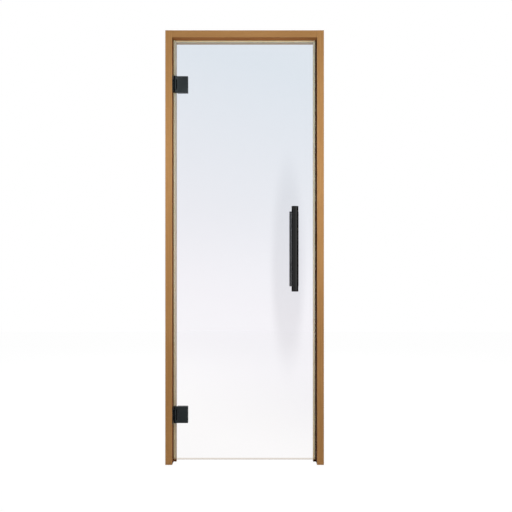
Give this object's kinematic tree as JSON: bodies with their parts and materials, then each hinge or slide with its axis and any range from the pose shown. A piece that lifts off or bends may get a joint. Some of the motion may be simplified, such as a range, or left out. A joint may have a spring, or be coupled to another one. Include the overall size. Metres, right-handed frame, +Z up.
{
  "type": "sauna door",
  "caption": "Clear glass sauna door leaf on clamp hinges in a rabbeted wooden frame without a threshold, with a tube pull outside and a flat grip inside.",
  "frame": {"origin": "middle of the hinge jamb's outer side face, the flat face that is screwed to the wall opening", "axes": "+X from the hinge jamb to the latch jamb, +Y from the outside into the sauna, +Z up"},
  "size_m": [0.69, 0.132, 1.89],
  "materials": {
    "frame_wood": "satin, heat-treated brown",
    "seal_silicone": "translucent cream",
    "leaf_glass": "clear, polished edges",
    "black_metal": "satin black",
    "black_rubber": "matt",
    "dark_steel": "blackened",
    "grip_wood": "matt black stain"
  },
  "bodies": {
    "frame": {"hinge_jamb": "frame_wood", "latch_jamb": "frame_wood", "frame_head": "frame_wood", "seal_hinge_side": "seal_silicone", "seal_latch_side": "seal_silicone", "seal_head": "seal_silicone", "hinge_upper_bracket": "black_metal", "hinge_lower_bracket": "black_metal"},
    "leaf": {"glass_pane": "leaf_glass", "hinge_upper_pin": "dark_steel", "hinge_upper_outer_plate": "black_metal", "hinge_upper_inner_plate": "black_metal", "hinge_upper_outer_gasket": "black_rubber", "hinge_upper_inner_gasket": "black_rubber", "hinge_upper_bolt_upper": "dark_steel", "hinge_upper_bolt_lower": "dark_steel", "hinge_lower_pin": "dark_steel", "hinge_lower_outer_plate": "black_metal", "hinge_lower_inner_plate": "black_metal", "hinge_lower_outer_gasket": "black_rubber", "hinge_lower_inner_gasket": "black_rubber", "hinge_lower_bolt_upper": "dark_steel", "hinge_lower_bolt_lower": "dark_steel", "handle_tube": "black_metal", "handle_cap_upper": "black_metal", "handle_cap_lower": "black_metal", "handle_grip": "grip_wood", "handle_post_outer_upper": "black_metal", "handle_post_outer_lower": "black_metal", "handle_post_inner_upper": "black_metal", "handle_post_inner_lower": "black_metal", "handle_washer_outer_upper": "black_rubber", "handle_washer_outer_lower": "black_rubber", "handle_washer_inner_upper": "black_rubber", "handle_washer_inner_lower": "black_rubber", "handle_stud_upper": "dark_steel", "handle_stud_lower": "dark_steel"}
  },
  "joints": [
    {"name": "door_swing", "type": "hinge", "parent": "frame", "child": "leaf", "pos_m": [0.0395, -0.0076, 0], "axis": [0, 0, -1], "range_deg": [0, 90]}
  ]
}
